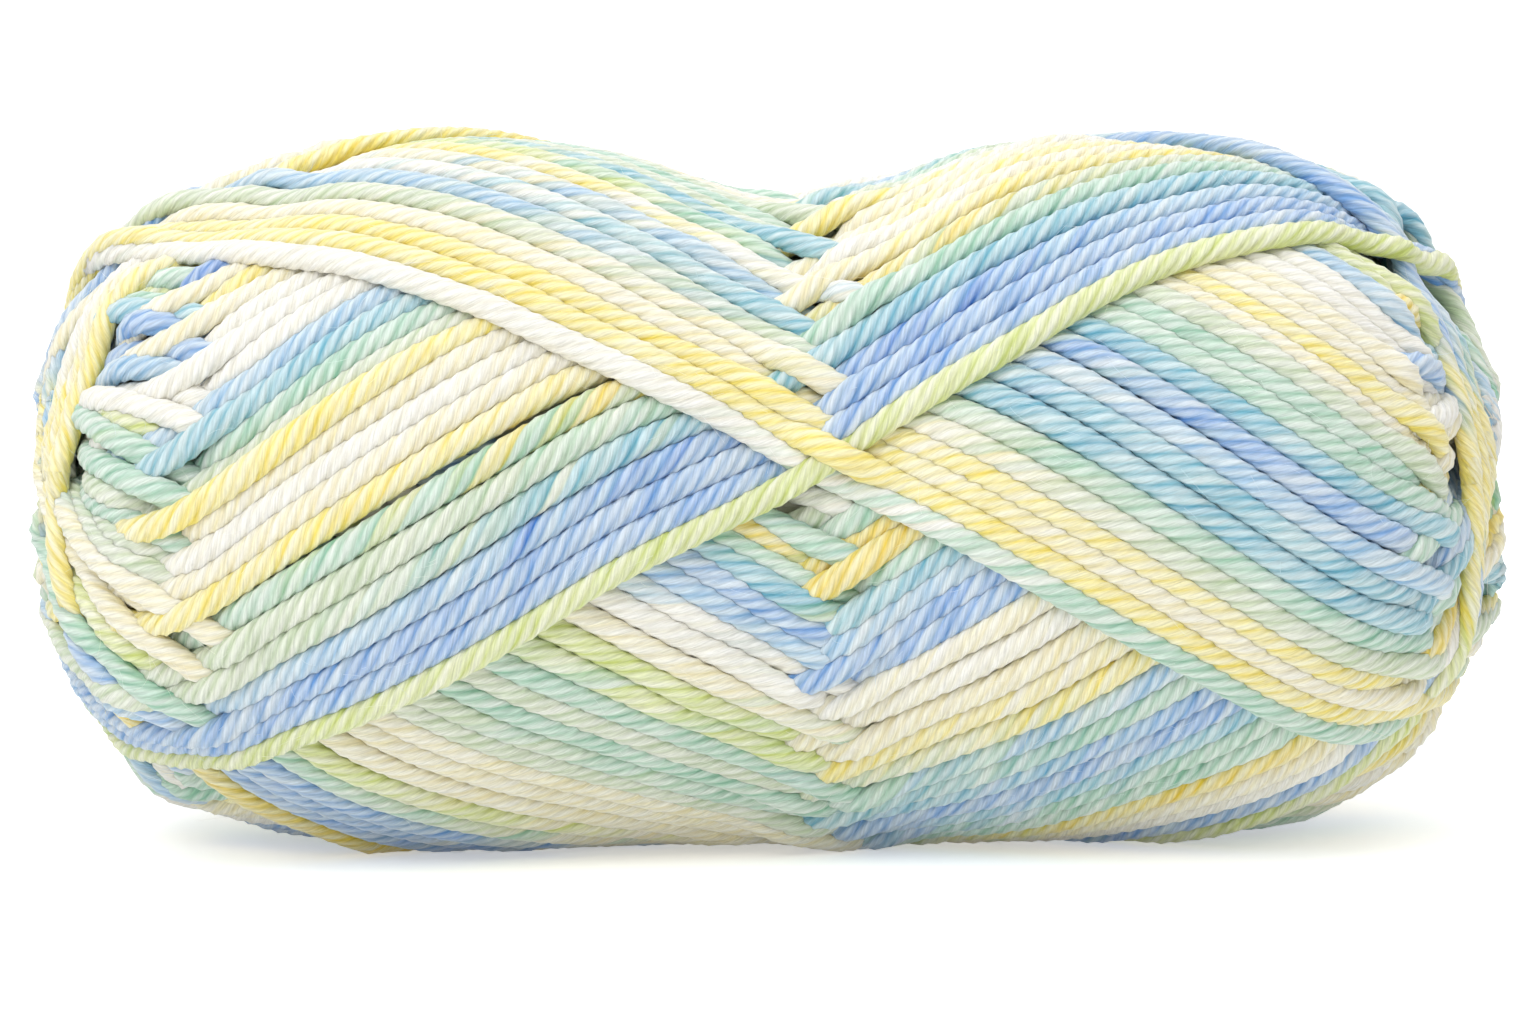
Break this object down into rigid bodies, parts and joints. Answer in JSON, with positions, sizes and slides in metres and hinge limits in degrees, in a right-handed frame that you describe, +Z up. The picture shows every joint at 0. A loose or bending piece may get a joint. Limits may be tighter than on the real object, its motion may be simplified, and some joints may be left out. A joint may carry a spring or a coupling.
{
  "type": "skein of baby yarn",
  "caption": "Small machine-wound skein of soft variegated baby yarn, lying on its side, with crossing bands of strands and a dimple in each end.",
  "frame": {"origin": "middle of the bounding box, on the surface that the skein rests on", "axes": "+Z up, +X along the skein to the right as seen from its front, -Y towards the viewer"},
  "size_m": [0.13, 0.0652, 0.0632],
  "materials": {
    "yarn": "soft plied yarn dyed in pale cream, yellow, green and blue"
  },
  "bodies": {
    "root": {"wound_yarn": "yarn"}
  },
  "joints": []
}
